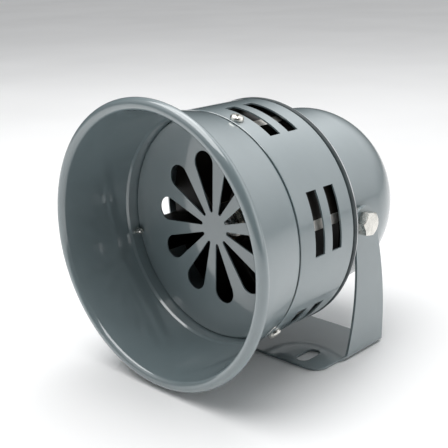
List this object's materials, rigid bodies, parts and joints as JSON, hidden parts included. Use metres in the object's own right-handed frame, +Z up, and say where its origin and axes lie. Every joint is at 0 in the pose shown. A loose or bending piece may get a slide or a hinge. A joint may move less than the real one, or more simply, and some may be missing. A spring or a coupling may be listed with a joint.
{
  "type": "alarm siren",
  "caption": "Motor-driven alarm siren with a flared round horn, slotted drum and domed motor cover, tilting on bolts in a bent U bracket.",
  "frame": {"origin": "on the underside of the bracket's base, midway between the centres of its two mounting slots", "axes": "+Z up, away from the surface the bracket is bolted to; the mouth of the horn faces -Y at rest; the tilt axis lies along X"},
  "size_m": [0.16, 0.1798, 0.162],
  "materials": {
    "grey_enamel": "gloss",
    "bright_zinc_steel": "satin",
    "zinc_plated_sheet": "satin",
    "black_rubber": "matte",
    "blackened_aluminium": "satin",
    "aluminium": "satin",
    "lamination_steel": "satin",
    "bearing_steel": "polished",
    "copper_wire": "gloss",
    "commutator_copper": "satin",
    "brass": "satin",
    "carbon": "matte",
    "black_plastic": "satin"
  },
  "bodies": {
    "bracket": {"mounting_bracket": "grey_enamel"},
    "head": {"pivot_bolts": "bright_zinc_steel", "pivot_spacers": "bright_zinc_steel", "pivot_nuts": "bright_zinc_steel", "horn_bell": "grey_enamel", "front_grille": "grey_enamel", "stator_drum": "grey_enamel", "bell_screws": "bright_zinc_steel", "rear_gasket": "black_rubber", "rear_plate": "zinc_plated_sheet", "motor_cover": "grey_enamel", "cover_screws": "bright_zinc_steel", "cover_nuts": "bright_zinc_steel", "cable_grommet": "black_rubber", "motor_front_bracket": "aluminium", "motor_rear_bracket": "aluminium", "front_bearing": "bearing_steel", "rear_bearing": "bearing_steel", "motor_tie_bolts": "bright_zinc_steel", "motor_mount_screws": "bright_zinc_steel", "field_core": "lamination_steel", "field_coils": "copper_wire", "brush_holders": "brass", "carbon_brushes": "carbon", "brush_springs": "bearing_steel", "brush_caps": "black_plastic", "terminal_bracket": "zinc_plated_sheet", "terminal_block": "black_plastic", "terminal_screws": "brass"},
    "rotor": {"armature_shaft": "bearing_steel", "armature_core": "lamination_steel", "armature_windings": "copper_wire", "commutator": "commutator_copper", "siren_rotor": "blackened_aluminium", "rotor_hub": "brass", "rotor_washer": "bright_zinc_steel", "rotor_nut": "bright_zinc_steel"}
  },
  "joints": [
    {"name": "head_tilt", "type": "hinge", "parent": "bracket", "child": "head", "pos_m": [0, 0.0245, 0.082], "axis": [-1, 0, 0], "range_deg": [0, 90]},
    {"name": "rotor_spin", "type": "hinge", "parent": "head", "child": "rotor", "pos_m": [0, 0.0245, 0.082], "axis": [0, -1, 0], "continuous": true}
  ]
}
